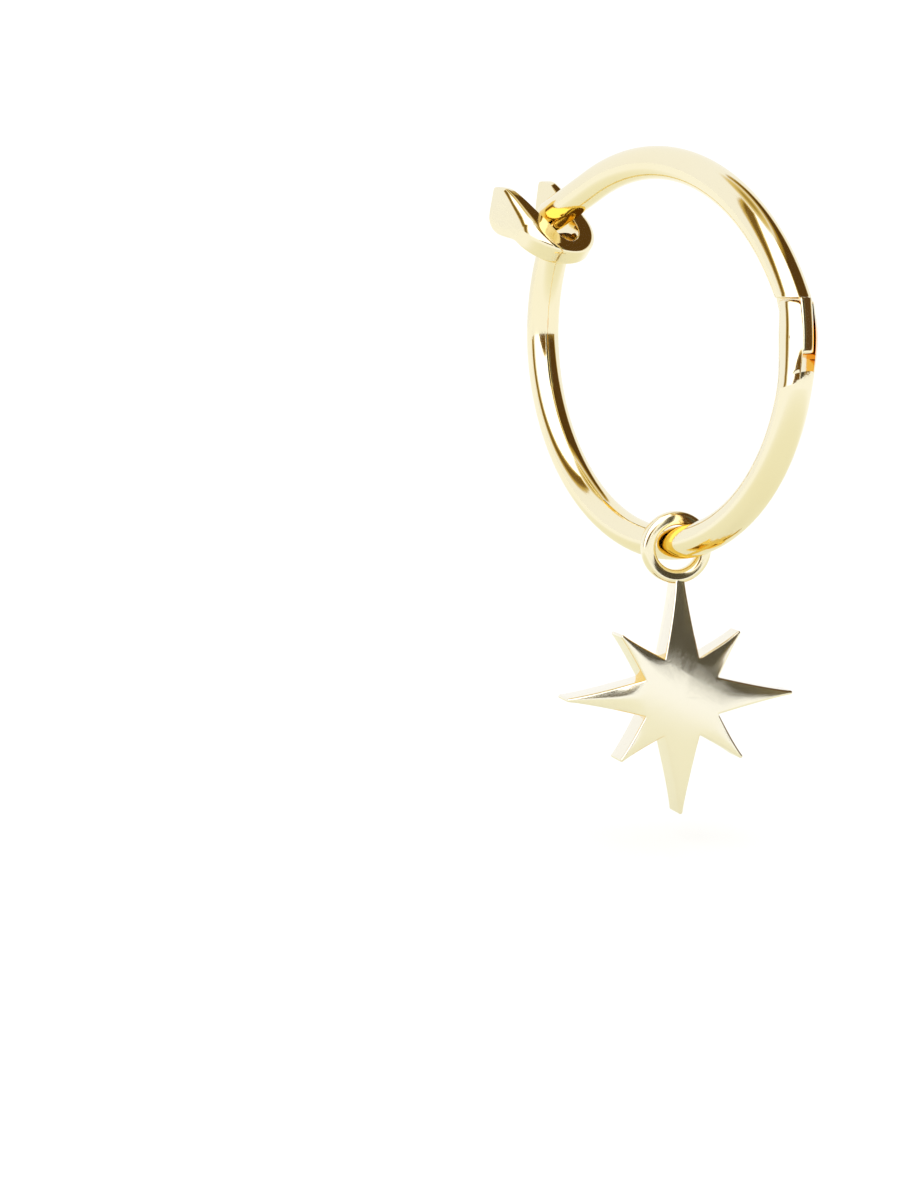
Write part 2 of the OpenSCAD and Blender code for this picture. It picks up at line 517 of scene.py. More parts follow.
def hinge_finish(layout: HoopLayout) -> GoldFinish:
    """Finish of the hinge's cheeks and tongue, filed by hand; where it mirrors itself in its slot, the
    reflection is painted deep orange.
    """
    return GoldFinish("gold_hinge", deep=(0.93, 0.52, 0.08), lift=0.18, lift_z=float(layout.pin[1]) * MM)


def dress(piece: bpy.types.Object, finish: GoldFinish, body: str, *nodes: str) -> None:
    """Gives a piece its finish, its moving body and the frame nodes that it stands for.

    Args:
        piece: The object.
        finish: Its finish.
        body: The moving body that carries it.
        *nodes: Names of the frame nodes that it replaces.
    """
    piece.data.materials.append(finish.material())
    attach(piece, body)
    if nodes:
        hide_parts(*nodes)
    LOG.info("%s: %d faces on %s", piece.name, len(piece.data.polygons), body)


@dataclass
class LowerArc:
    """The lower wire of the hoop, from the hinge's thicker stretch round to the catch."""

    layout: HoopLayout
    end_a: float = 152.5
    barrel_d: float = 1.18
    barrel_from: float = -13.0
    tucked_a: float = 2.0
    cover: float = 0.002
    slot_w: float = 0.5
    cheek_r: float = 1.13
    edge_r: float = 0.05
    steps: int = 520
    sides: int = 128
    edge_rows: int = 6
    foot_rows: int = 6
    slot_rows: int = 22
    arc_points: int = 45
    chord_points: int = 17
    finish: GoldFinish = GoldFinish("gold_wire", deep=(0.95, 0.80, 0.45))

    def wire(self) -> bpy.types.Object:
        """Round wire carried along the hoop's circle, its catch end rounded by a small quarter circle.

        Row angle runs from inside the thicker stretch down and round to the catch; the section is
        out = r cos(theta), side = r sin(theta), and over the last edge r = R - e (1 - sqrt(1 - x^2)).

        Returns:
            The wire.
        """
        edge = np.degrees(self.edge_r / self.layout.hoop_r)
        stop = self.end_a - 360.0
        angle = np.linspace(self.barrel_from + self.tucked_a, stop, self.steps)
        angle = np.r_[angle[angle > stop + edge], np.linspace(stop + edge, stop, self.edge_rows + 1)][:, None]
        x = np.clip((stop + edge - angle) / edge, 0.0, 1.0)
        radius = self.layout.wire_d / 2 - self.edge_r * (1.0 - np.sqrt(1.0 - x * x))
        theta = turns(self.sides)
        points = self.layout.hoop.place(angle, radius * np.cos(theta), radius * np.sin(theta))
        return grid_mesh("lower_wire", points)

    def cheek(self, hand: int) -> bpy.types.Object:
        """One half of the hinge's thicker stretch, with half of its slot.

        Its radius swells from just over the wire's at both ends to the barrel's at the pin. The section is
        the part of the disc with side > inner. The top follows a circle of cheek_r about the pin,
        height = sqrt(cheek_r^2 - out^2), and the slot's floor follows the same circle under the pin.

        Args:
            hand: 1 for the half towards -Y, -1 for the other.

        Returns:
            The half.
        """
        low = math.radians(self.barrel_from - self.layout.pin_a) * self.layout.hoop_r
        heights, inner, shrink, domed = self._cheek_rows(low)
        thin = self.layout.wire_d / 2 + self.cover
        swell = smooth_step((heights - low) / -low) * smooth_step((self.cheek_r - heights) / self.cheek_r)
        radius = thin + (self.barrel_d / 2 - thin) * swell
        section = [self._half_disc(r - s, i + s * (i > 0)) for r, i, s in zip(radius, inner, shrink)]
        out, side = (np.stack([s[k] for s in section]) for k in (0, 1))
        reach = np.sqrt(self.cheek_r**2 - out**2) - self.cheek_r
        height = heights[:, None] + domed[:, None] * reach
        angle = self.layout.above_pin(height, self.layout.hoop, out)
        points = self.layout.hoop.place(angle, out, hand * side)
        return grid_mesh("hinge_cheek_front" if hand > 0 else "hinge_cheek_back", points, crease=FINE_CREASE)

    def _cheek_rows(self, low: float) -> tuple[np.ndarray, ...]:
        """Rows of a cheek from its foot up. Under the slot they reach the middle, beside it the slot's wall.

        The even rows keep two or three edge radii away from the edges and from the slot's floor.

        Args:
            low: Height of the foot above the pin.

        Returns:
            Heights, inner faces, how far the top's rounded edge shrinks each row, and how much of the circle
            about the pin each row follows, -1 on the slot's floor.
        """
        e, top = self.edge_r, self.cheek_r
        turn = quarter(self.edge_rows)
        bend = e * (1 - np.cos(turn))
        under = np.r_[low + bend, np.linspace(low + 3 * e, -top - 2 * e, self.foot_rows), -top]
        wall = np.linspace(2 * e - top, top - 3 * e, self.slot_rows)
        beside = np.r_[-top, wall, top - e + e * np.sin(turn)]
        heights = np.r_[under, beside]
        inner = np.r_[np.zeros(len(under)), np.full(len(beside), self.slot_w / 2)]
        shrink = np.r_[np.zeros(len(heights) - len(turn)), bend]
        domed = smooth_step(heights / top)
        domed[len(under) - 1: len(under) + 1] = -1.0
        return heights, inner, shrink, domed

    def _half_disc(self, radius: float, inner: float) -> Arrays:
        """Outline of the part of a disc with side > inner: an arc, then its chord.

        Args:
            radius: Radius of the disc.
            inner: Distance of the chord from the middle.

        Returns:
            Distances out and to the side.
        """
        start = math.asin(min(inner / radius, 1.0))
        arc = np.linspace(start, np.pi - start, self.arc_points)
        chord = np.linspace(-1.0, 1.0, self.chord_points)[1:-1] * radius * math.cos(start)
        return np.r_[radius * np.cos(arc), chord], np.r_[radius * np.sin(arc), np.full(len(chord), inner)]

    def build(self) -> None:
        """Makes and dresses the wire and the two halves of the hinge's thicker stretch."""
        dress(self.wire(), self.finish, "hoop", "lower_hoop")
        for hand in (1, -1):
            dress(self.cheek(hand), hinge_finish(self.layout), "hoop")


@dataclass
class WingedCatch:
    """The forked saddle on the lower wire's end: two petal wings over a round cup."""

    layout: HoopLayout
    foot_a: float = 150.7
    foot_r: float = 5.42
    lean_a: float = 13.2
    roll_a: float = 9.0
    wing_h: float = 3.55
    wing_w: float = 2.75
    side_a: float = 7.0
    vee_a: float = 9.0
    floor_t: float = 0.5
    seat_h: float = 1.54
    seat_gap: float = 0.04
    cup_share: float = 0.45
    tip_from: float = 0.86
    tip_thin: float = 0.35
    tip_short: float = 0.02
    inner_edge: float = 0.05
    back_edge: float = 0.14
    back_most: float = 0.8
    flat_to: float = 0.2
    roll_deep: float = 0.9
    margin: float = 0.6
    blur_reach: float = 0.5
    blur_spread: float = 0.16
    blur_taps: int = 41
    samples: int = 400
    rows: int = 150
    crowding: float = 1.5
    turn_steps: int = 14
    flat_steps: int = 7
    bed_back: float = -0.62
    bed_face: float = -0.2
    bed_edge: float = 0.07
    bed_shrink: float = 0.12
    bed_half: Pair = (0.56, 0.36)
    bed_up: float = 0.78
    bed_square: float = 3.0
    bed_turn: Pair = (0.2, 1.57)
    bed_rows: int = 8
    bed_turn_rows: int = 6
    bed_sides: int = 48
    finish: GoldFinish = GoldFinish("gold_catch", ripple=0.3)
    bed: GoldFinish = GoldFinish("gold_solder", roughness=0.15, ripple=0.3)

    def to_row(self, along: np.ndarray, across: np.ndarray, up: np.ndarray) -> np.ndarray:
        """Turns catch coordinates into row coordinates.

        The across and up pair is turned by the roll about the post's seat, then the point is
        foot + along a + up r in X and Z, and y = across, with r the rise and a square to it.

        Args:
            along: Distance along the catch, towards the post.
            across: Distance towards +Y.
            up: Height above the foot.

        Returns:
            Array of points.
        """
        c, s = unit(self.roll_a)
        over = up - self.seat_h
        turned = c * across - s * over
        raised = s * across + c * over + self.seat_h
        rise = unit(self.foot_a - self.lean_a)
        foot = self.layout.hoop.centre + self.foot_r * unit(self.foot_a)
        x = foot[0] + along * rise[1] + raised * rise[0]
        z = foot[1] - along * rise[0] + raised * rise[1]
        return np.stack(np.broadcast_arrays(x, turned, z), -1)

    def _wall(self, radius: float, centre: float, lean: float, u: np.ndarray) -> Arrays:
        """Half of a rounded vee: an arc from the bottom for u below cup_share, then a straight side.

        Args:
            radius: Radius of the arc.
            centre: Height of its centre.
            lean: Degrees that the side leans outwards.
            u: Place on the wall, 0 at the bottom and 1 at the top.

        Returns:
            Distances across and up.
        """
        turn = np.radians(-90.0 + (90.0 - lean) * np.clip(u / self.cup_share, 0.0, 1.0))
        across, up = radius * np.cos(turn), centre + radius * np.sin(turn)
        t = np.clip((u - self.cup_share) / (1.0 - self.cup_share), 0.0, 1.0)
        rise = np.where(u > self.cup_share, (self.wing_h - up) * t, 0.0)
        return across + rise * math.tan(math.radians(lean)), up + rise

    def saddle(self) -> bpy.types.Object:
        """The folded sheet: a rounded section carried along the U from one wing's tip to the other's.

        At each place of the U, the middle line is the mean of the outer and inner walls, and the section
        is as long as the petal outline there and as thick as the wall. Towards the tip it shrinks as
        sqrt(1 - x^2), to a thickness of tip_thin and a length of tip_short.

        Returns:
            The saddle.
        """
        u = 1.0 - (1.0 - np.linspace(0.0, 1.0, self.rows)[:, None]) ** self.crowding
        seat = self.layout.wire_d / 2 + self.seat_gap
        lean = math.sin(math.radians(self.vee_a))
        floor_r = (seat - (self.seat_h - self.floor_t) * lean) / (1.0 - lean)
        outer = np.array(self._wall(self.wing_w / 2, self.wing_w / 2, -self.side_a, u))
        inner = np.array(self._wall(floor_r, self.floor_t + floor_r, self.vee_a, u))
        mid, gap = (outer + inner) / 2, outer - inner
        front, back = (self._edge(mid[1], *places) for places in self._outline())
        x = np.clip((u - self.tip_from) / (1.0 - self.tip_from), 0.0, 1.0)
        tip = np.sqrt(1.0 - x**2)
        half = np.hypot(*gap) / 2
        run, off = self._section((front - back) / 2, half)
        off = off / half * (self.tip_thin + (1.0 - self.tip_thin) * tip)
        along = (front + back) / 2 + run * np.maximum(tip, self.tip_short)
        across, high = mid + gap / 2 * off
        near, far = self.to_row(along, -across, high), self.to_row(along, across, high)
        return grid_mesh("catch_saddle", np.concatenate([near[::-1], far[1:]]))

    def _section(self, length: np.ndarray, half: np.ndarray) -> Arrays:
        """Section of the folded sheet: flat on the inner half of its front edge, rolled over on the outer.

        Going round from the inner side: a quarter circle of inner_edge, the flat, a quarter ellipse down to
        the outer side, the outer side, two quarter circles of back_edge, and the inner side.

        Args:
            length: Half of the section's length, one per row.
            half: Half of its thickness.

        Returns:
            Places along it, and across it from the inner side at -half to the outer at half.
        """
        turn, flat = quarter(self.turn_steps)[None, :], np.linspace(0.0, 1.0, self.flat_steps)[None, 1:]
        c, s = np.cos(turn), np.sin(turn)
        e, back = self.inner_edge, np.minimum(self.back_edge, self.back_most * half)
        bend = self.flat_to * half
        roll = half - bend
        drop = self.roll_deep * roll
        along = [length - e + e * s, length + 0 * flat, length - drop * (1 - c[:, 1:]),
                 length - drop + flat * (back + drop - 2 * length), back - length - back * s[:, 1:],
                 back - length - back * c, back - length + flat[:, :-1] * (2 * length - back - e)]
        across = [e * (1 - c) - half, e - half + flat * (bend + half - e), bend + roll * s[:, 1:],
                  half + 0 * flat, half - back * (1 - c[:, 1:]), back * (1 - s) - half,
                  -half + 0 * flat[:, :-1]]
        return np.concatenate(along, axis=1), np.concatenate(across, axis=1)

    def _edge(self, up: np.ndarray, heights: np.ndarray, reach: np.ndarray) -> np.ndarray:
        """Edge of the petal: its named places joined by lines, then blurred by exp(-(x/spread)^2 / 2).

        Args:
            up: Heights to work it out at.
            heights: Heights of the named places.
            reach: How far forward the edge lies at them.

        Returns:
            How far forward it lies at each height.
        """
        even = np.linspace(-self.margin, self.wing_h + self.margin, self.samples)
        line = np.pad(np.interp(even, heights, reach), self.blur_taps, mode="edge")
        taps = np.linspace(-self.blur_reach, self.blur_reach, 2 * self.blur_taps + 1)
        blur = np.exp(-0.5 * (taps / self.blur_spread) ** 2)
        return np.interp(up, even, np.convolve(line, blur / blur.sum(), mode="valid"))

    def _outline(self) -> Arrays:
        """The petal seen from the side: its front edge and its back edge.

        Returns:
            For each edge, the heights of its named places and how far forward it lies there.
        """
        high = self.wing_h
        front = [[0.0, 0.4, 1.4, 2.6, high - 0.3, high], [0.0, 0.08, 0.19, 0.2, 0.14, -0.05]]
        back = [[0.0, 0.4, 1.0, 1.45, 1.9, 2.4, 2.8, 3.1, high - 0.2, high],
                [-0.55, -0.66, -0.74, -0.82, -1.08, -1.34, -1.36, -1.2, -0.75, -0.4]]
        return np.array(front), np.array(back)

    def solder(self) -> bpy.types.Object:
        """The bed of solder behind the wire's end: a superellipse block with a rounded front.

        Rows run from its back to its face; the last ones shrink by bed_shrink (1 - sqrt(1 - x^2)).

        Returns:
            The bed.
        """
        start = self.bed_face - self.bed_edge
        rounded = start + self.bed_edge * np.sin(np.linspace(*self.bed_turn, self.bed_turn_rows))
        along = np.r_[np.linspace(self.bed_back, start, self.bed_rows), rounded][:, None]
        x = np.clip((along - start) / self.bed_edge, 0.0, 1.0)
        grow = 1.0 - self.bed_shrink * (1.0 - np.sqrt(1.0 - x * x))
        a, b = superellipse(turns(self.bed_sides), self.bed_square)
        wide, high = self.bed_half
        return grid_mesh("catch_solder", self.to_row(along, wide * grow * a, self.bed_up + high * grow * b))

    def build(self) -> None:
        """Makes and dresses the saddle and its solder."""
        dress(self.saddle(), self.finish, "hoop")
        dress(self.solder(), self.bed, "hoop")


@dataclass
class PostArc:
    """The bent post that goes through the lobe, with its round tip and hinge tongue."""

    layout: HoopLayout
    bend_to: float = 113.0
    straight: float = 2.5
    shoulder: float = 1.18
    tongue_w: float = 0.44
    knuckle_foot: float = 0.5
    knuckle_top: float = 1.2
    corner_power: float = 9.0
    top_power: float = 60.0
    bore_r: float = 0.28
    face_to: float = 0.92
    neck_half: float = 0.44
    neck_a: float = 32.0
    neck_run: Pair = (0.18, 0.97)
    neck_in: float = 0.004
    neck_square: float = 7.0
    neck_rows: int = 24
    neck_sides: int = 48
    edge_r: float = 0.045
    full_at: float = 3.0
    even_from: float = 5.0
    edge_rows: int = 6
    rays: int = 200
    steps: int = 340
    straight_rows: int = 59
    cap_rows: int = 24
    sides: int = 128
    finish: GoldFinish = GoldFinish("gold_post", deep=(0.95, 0.78, 0.40))

    def wire(self) -> bpy.types.Object:
        """Round wire carried along the post's circle, cut square to the hoop at its hinge end.

        A row's angle at offset out is start(out) + t (bend_to - start(out)), where start is the angle that
        lies even_from edges above the shoulder; the foot's rounded edge lies below it. Past the bend the
        rows go on along the tangent, place(bend_to) + s * way, and over the last R of the run the radius
        falls as sqrt(R^2 - s^2).

        Returns:
            The wire.
        """
        arc, e, radius = self.layout.post, self.edge_r, self.layout.wire_d / 2
        turn, theta = quarter(self.edge_rows), turns(self.sides)
        c, s = np.cos(theta), np.sin(theta)
        high = self.shoulder + np.r_[e * (1.0 - np.cos(turn)), self.full_at * e][:, None]
        size = radius - np.r_[e * (1.0 - np.sin(turn)), 0.0][:, None]
        foot = arc.place(self.layout.above_pin(high, arc, size * c), size * c, size * s)
        start = self.layout.above_pin(self.shoulder + self.even_from * e, arc, radius * c)
        angle = start + np.linspace(0.0, 1.0, self.steps)[:, None] * (self.bend_to - start)
        body = arc.place(angle, radius * c, radius * s)
        cap = quarter(self.cap_rows)[1:-1]
        level = np.linspace(0.0, self.straight, self.straight_rows + 1)[1:]
        run = np.r_[level, self.straight + radius * np.sin(cap)][:, None, None]
        size = np.r_[np.full(self.straight_rows, radius), radius * np.cos(cap)][:, None]
        way = unit(self.bend_to + 90.0)
        tip = arc.place(self.bend_to, size * c, size * s) + run * np.array([way[0], 0.0, way[1]])
        return grid_mesh("post_wire", np.concatenate([foot, body, tip]))

    def tongue(self) -> bpy.types.Object:
        """Tongue round the pin, with a knuckle flush with the lower wire's sides.

        The section across the tongue goes out along one face, over the edge, back along the other face and
        down the bore. At polar angle phi about the pin, the outer edge is the ray's reach inside the
        knuckle's box, side / |cos| joined with foot / -sin or top / sin by a power mean that rounds the
        corners; the sides are the wire's own round surface, sqrt(r^2 - y^2), bent along the hoop's circle.

        Returns:
            The tongue.
        """
        wire_r, half, e = self.layout.wire_d / 2, self.tongue_w / 2, self.edge_r
        count, tiny = 5, 1e-9
        turn, level = quarter(count), np.zeros(count)
        face, rim = np.linspace(0.0, self.face_to, count), half - e * (1 - np.cos(turn))
        bend = e * (1 - np.sin(turn))
        middle = np.linspace(half - e, e - half, count + 2)[1:-1]
        side = np.r_[np.full(count, half), rim, middle, -rim[::-1], np.full(count, -half)]
        inset = np.r_[level, bend, level, bend[::-1], level]
        share = np.r_[face, np.ones(3 * count), face[::-1]]
        ends = np.array([self.knuckle_top, self.knuckle_top, -self.knuckle_foot, -self.knuckle_foot])
        corner = np.arctan2(ends, wire_r * np.array([1.0, -1.0, -1.0, 1.0]))
        phi = np.unique(np.r_[np.linspace(-np.pi, np.pi, self.rays, endpoint=False), corner])[:, None]
        upper = np.sin(phi) > 0
        up = np.where(upper, self.knuckle_top, self.knuckle_foot)
        to_side = np.sqrt(wire_r**2 - side**2) / np.maximum(np.abs(np.cos(phi)), tiny)
        to_end = up / np.maximum(np.abs(np.sin(phi)), tiny)
        power = np.where(upper, self.top_power, self.corner_power)
        nearest = np.minimum(to_side, to_end)
        reach = nearest * ((nearest / to_side) ** power + (nearest / to_end) ** power) ** (-1.0 / power)
        radius = self.bore_r + share * (reach - self.bore_r) - inset
        out, high = radius * np.cos(phi), radius * np.sin(phi)
        angle = self.layout.above_pin(high, self.layout.hoop, out)
        points = self.layout.hoop.place(angle, out, side)
        return grid_mesh("hinge_tongue", points, Ends.JOINED, crease=FINE_CREASE)

    def neck(self) -> bpy.types.Object:
        """Straight neck from the knuckle up into the post: a superellipse along the line between them.

        Returns:
            The neck.
        """
        pin = self.layout.pin
        line = self.layout.post.at(self.neck_a) - pin
        wide = np.array([line[1], -line[0]]) / np.hypot(*line)
        share = np.linspace(*self.neck_run, self.neck_rows)[:, None]
        a, b = superellipse(turns(self.neck_sides), self.neck_square)
        x, z = (pin[k] + share * line[k] + self.neck_half * a * wide[k] for k in (0, 1))
        side = (self.tongue_w / 2 - self.neck_in) * b
        return grid_mesh("hinge_neck", np.stack(np.broadcast_arrays(x, -side, z), -1), crease=FINE_CREASE)

    def build(self) -> None:
        """Makes and dresses the post's wire, its tongue and the neck between them."""
        dress(self.wire(), self.finish, "post", "post_arc")
        for piece in (self.tongue(), self.neck()):
            dress(piece, hinge_finish(self.layout), "post")


@dataclass
class HingePin:
    """The rivet through the hinge, dressed nearly flush with the cheeks."""

    layout: HoopLayout
    pin_d: float = 0.5
    across: float = 1.18
    sunk: float = 0.02
    dome: float = 0.03
    dome_from: float = 0.08
    dome_rows: int = 9
    sides: int = 64
    finish: GoldFinish = GoldFinish("gold_pin", roughness=0.08)

    def rivet(self) -> bpy.types.Object:
        """Cylinder with two low domed ends, side = h - d (r/R)^2.

        Returns:
            The rivet.
        """
        share, phi = np.linspace(self.dome_from, 1.0, self.dome_rows), turns(self.sides)
        r = np.r_[share, share[::-1]][:, None] * (self.pin_d / 2)
        end = self.across / 2 - self.sunk - self.dome * share**2
        side = np.r_[end, -end[::-1]][:, None]
        x, z = self.layout.pin[0] + r * np.cos(phi), self.layout.pin[1] + r * np.sin(phi)
        return grid_mesh("hinge_rivet", np.stack(np.broadcast_arrays(x, -side, z), -1), crease=FINE_CREASE)

    def build(self) -> None:
        """Makes and dresses the rivet."""
        dress(self.rivet(), self.finish, "hoop", "hinge_pin")


@dataclass
class StarCharm:
    """Jump ring and cushioned star, soldered in one plane and turned about the vertical."""

    layout: HoopLayout
    hang_a: float = -84.0
    swivel: float = 21.0
    ring_hole: float = 1.4
    ring_w: float = 0.44
    hang_gap: float = 0.05
    ring_square: float = 3.3
    ring_tilt: float = 0.16
    star_drop: float = 4.605
    main: float = 3.75
    diagonal: float = 2.82
    notch: float = 1.35
    notch_a: float = 25.5
    thick: float = 1.2
    steep_r: float = 18.0
    gentle_r: float = 140.0
    steep_way: float = 50.0
    apex: float = -0.78
    nudge: Pair = (0.085, -0.09)
    hollow: float = 1.2
    tip_half: float = 0.065
    top_half: float = 0.17
    edge_r: float = 0.06
    back_edge: float = 0.05
    bows: tuple[float, ...] = (0.01, 0.1, 0.2, 0.16, 0.03, 0.07, 0.03, 0.12)
    bow_from: float = 0.25
    bow_fade: float = 1.2
    bow_most: float = 1.2
    side_rows: int = 34
    tip_rows: int = 13
    face_rows: int = 60
    edge_rows: int = 9
    inmost: float = 0.0004
    crease: float = 34.0
    ring_steps: int = 180
    ring_sides: int = 64
    finish: GoldFinish = GoldFinish("gold_star", pale=(0.945, 0.90, 0.77), warm=(0.94, 0.88, 0.72),
                                    metallic=0.97, roughness=0.035, ripple=0.4)
    ring_finish: GoldFinish = GoldFinish("gold_ring")

    @property
    def ring_r(self) -> float:
        """Radius of the ring's centre line."""
        return (self.ring_hole + self.ring_w) / 2

    def to_row(self, right: np.ndarray, up: np.ndarray, front: np.ndarray) -> np.ndarray:
        """Turns charm coordinates about the ring's centre into row coordinates.

        Front is the star's own normal; x = hx + right sin(w) + front cos(w), y = right cos(w) - front sin(w),
        with w the swivel, and z is measured up from the ring's centre.

        Args:
            right: Distance to the right, seen from the front.
            up: Height above the ring's centre.
            front: Distance towards the front.

        Returns:
            Array of points.
        """
        hang = self.layout.hoop.at(self.hang_a)
        drop = (self.ring_hole - self.layout.wire_d) / 2 - self.hang_gap
        c, s = unit(self.swivel)
        x, y, z = hang[0] + right * s + front * c, right * c - front * s, hang[1] - drop + up
        return np.stack(np.broadcast_arrays(x, y, z), -1)

    def ring(self) -> bpy.types.Object:
        """Jump ring: a superellipse section (a, b) carried round the centre line, its front b - a t sin(phi).

        Returns:
            The ring.
        """
        phi = turns(self.ring_steps)[:, None]
        a, b = superellipse(turns(self.ring_sides), self.ring_square)
        half = self.ring_w / 2
        r = self.ring_r + half * a
        front = half * (b - a * (self.ring_tilt * np.sin(phi)))
        return grid_mesh("jump_ring", self.to_row(r * np.cos(phi), r * np.sin(phi), front), Ends.JOINED)

    def _point(self, number: int) -> tuple[float, float, float, float]:
        """Sizes of one of the star's points.

        Args:
            number: Number of the point, 0 at the top and then anticlockwise.

        Returns:
            Its reach, the half width of its tip, and the run and half width of its base.
        """
        is_main = number % 2 == 0
        half_a = math.radians(self.notch_a if is_main else POINT_A - self.notch_a)
        tip = self.top_half if number == 0 else self.tip_half
        reach = self.main if is_main else self.diagonal
        return reach, tip, self.notch * math.cos(half_a), self.notch * math.sin(half_a)

    def half_width(self, number: int, run: np.ndarray) -> np.ndarray:
        """Half width of a point at a run along its axis: tip + (base - tip) x^power, x the share left.

        Inside the notch circle the same curve goes on, so the value keeps growing to the centre.

        Args:
            number: Number of the point, 0 at the top.
            run: Distance from the star's centre along the point's axis.

        Returns:
            The half width.
        """
        reach, tip, base_run, base_half = self._point(number)
        left = (reach - tip - run) / (reach - tip - base_run)
        return tip + (base_half - tip) * np.maximum(left, 0.0) ** self.hollow

    def outline(self) -> np.ndarray:
        """The star's outline, anticlockwise from the top point's right side.

        Each of the eight points is worked out along its own axis: its two sides follow the half width and
        a half circle closes the tip.

        Returns:
            Array of points with x and y.
        """
        parts = []
        turn = np.linspace(0.0, np.pi, self.tip_rows)
        for number in range(STAR_POINTS):
            reach, tip, base_run, _ = self._point(number)
            run = np.linspace(base_run, reach - tip, self.side_rows)[:-1]
            half = self.half_width(number, run)
            run = np.r_[run, reach - tip + tip * np.sin(turn), run[:0:-1]]
            off = np.r_[-half, -tip * np.cos(turn), half[:0:-1]]
            axis, across = unit(90.0 + POINT_A * number), unit(180.0 + POINT_A * number)
            parts.append(run[:, None] * axis + off[:, None] * across)
        return np.concatenate(parts)

    def front_height(self, x: np.ndarray, y: np.ndarray) -> np.ndarray:
        """Height of the cushioned front over the star's middle plane.

        The cushion is thick/2 - (u - a)^2 / 2R - v^2 / 2G, with u run along the steep way, v across it, R
        and G the two radii and a the apex. Each point falls away from its axis by bow * w * (o/w)^2, with o
        the distance from the axis, w the half width there and bow the point's own, faded in past the notches.

        Args:
            x: Distance to the right of the star's centre.
            y: Distance above it.

        Returns:
            The height.
        """
        c, s = unit(self.steep_way)
        u, v = x * c + y * s - self.apex, y * c - x * s
        dome = self.thick / 2 - u**2 / (2 * self.steep_r) - v**2 / (2 * self.gentle_r)
        bearing = np.degrees(np.arctan2(y, x)) - 90.0
        number = np.round(bearing / POINT_A).astype(int) % STAR_POINTS
        axis = np.radians(90.0 + POINT_A * number)
        run = x * np.cos(axis) + y * np.sin(axis)
        off = y * np.cos(axis) - x * np.sin(axis)
        half = np.choose(number, [self.half_width(k, run) for k in range(STAR_POINTS)])
        share = np.clip(np.abs(off) / half, 0.0, self.bow_most)
        fade = smooth_step((run - self.notch + self.bow_from) / self.bow_fade)
        return dome - np.choose(number, self.bows) * half * share**2 * fade

    def _face(self, xy: np.ndarray, edge: float) -> Arrays:
        """Rows of one face of the star, from its middle out and over its rounded edge.

        Row k is scale_k times the outline moved in by inset_k along its normal, where scale^2 rises evenly
        from inmost to 1. Over the edge, a quarter circle, the inset is e (1 - sin) and the fall e (1 - cos).

        Args:
            xy: The outline.
            edge: Radius e of the rounded edge.

        Returns:
            Flat places of the rows, and how far each row falls below the face.
        """
        along = np.roll(xy, -1, 0) - np.roll(xy, 1, 0)
        normal = np.column_stack([along[:, 1], -along[:, 0]])
        normal /= np.linalg.norm(normal, axis=1)[:, None]
        turn = quarter(self.edge_rows)[1:]
        scale = np.r_[np.sqrt(np.linspace(self.inmost, 1.0, self.face_rows)), np.ones(len(turn))]
        inset = np.r_[np.full(self.face_rows, edge), edge * (1 - np.sin(turn))]
        fall = np.r_[np.zeros(self.face_rows), edge * (1 - np.cos(turn))]
        return scale[:, None, None] * (xy - inset[:, None, None] * normal), fall[:, None]

    def star(self) -> bpy.types.Object:
        """Cushioned star: the rows of its front at front_height, then those of its flat back inwards.

        Returns:
            The star.
        """
        xy = self.outline()
        right, up = self.nudge[0], self.nudge[1] - self.star_drop
        flat, fall = self._face(xy, self.edge_r)
        high = self.front_height(flat[..., 0], flat[..., 1]) - fall
        front = self.to_row(flat[..., 0] + right, flat[..., 1] + up, high)
        flat, fall = self._face(xy, self.back_edge)
        back = self.to_row(flat[..., 0] + right, flat[..., 1] + up, fall - self.thick / 2)
        return grid_mesh("star", np.concatenate([front, back[::-1]]), crease=self.crease)

    def build(self) -> None:
        """Makes and dresses the ring and the star."""
        dress(self.ring(), self.ring_finish, "charm", "star_charm")
        dress(self.star(), self.finish, "charm")


@dataclass(frozen=True)
class Patch:
    """A soft-edged area of the room, bounded by two bearings and two heights in degrees."""

    bearing: Pair
    height: Pair
    core: Colour
    rim: Colour
    soft: float = 6.0
    lean: float = 0.0
    far_lean: float = 0.0

    def over(self, kit: NodeKit, under: Socket, bearing: Socket, height: Socket) -> Socket:
        """Lays the patch over what is under it.

        The depth inside the patch is the least distance to its four sides, where the two upright sides move
        by lean and far_lean degrees per degree of height. The rim's colour comes in over the first half of
        the soft edge and the core's colour over the rest.

        Args:
            kit: Node tree to add to.
            under: Colour socket of what lies under it.
            bearing: Socket of the bearing.
            height: Socket of the height.

        Returns:
            The colour's socket.
        """
        (first, last), (low, high) = self.bearing, self.height
        near = kit.math("SUBTRACT", bearing, kit.math("MULTIPLY", height, self.lean))
        far = kit.math("SUBTRACT", bearing, kit.math("MULTIPLY", height, self.far_lean))
        sides = kit.math("MINIMUM", kit.math("SUBTRACT", near, first), kit.math("SUBTRACT", last, far))
        ends = kit.math("MINIMUM", kit.math("SUBTRACT", height, low), kit.math("SUBTRACT", high, height))
        depth = kit.math("MULTIPLY", kit.math("MINIMUM", sides, ends), 1.0 / self.soft)
        edged = kit.blend(under, self.rim, kit.ease(depth, 0.0, 0.5))
        return kit.blend(edged, self.core, kit.ease(depth, 0.5, 1.0))


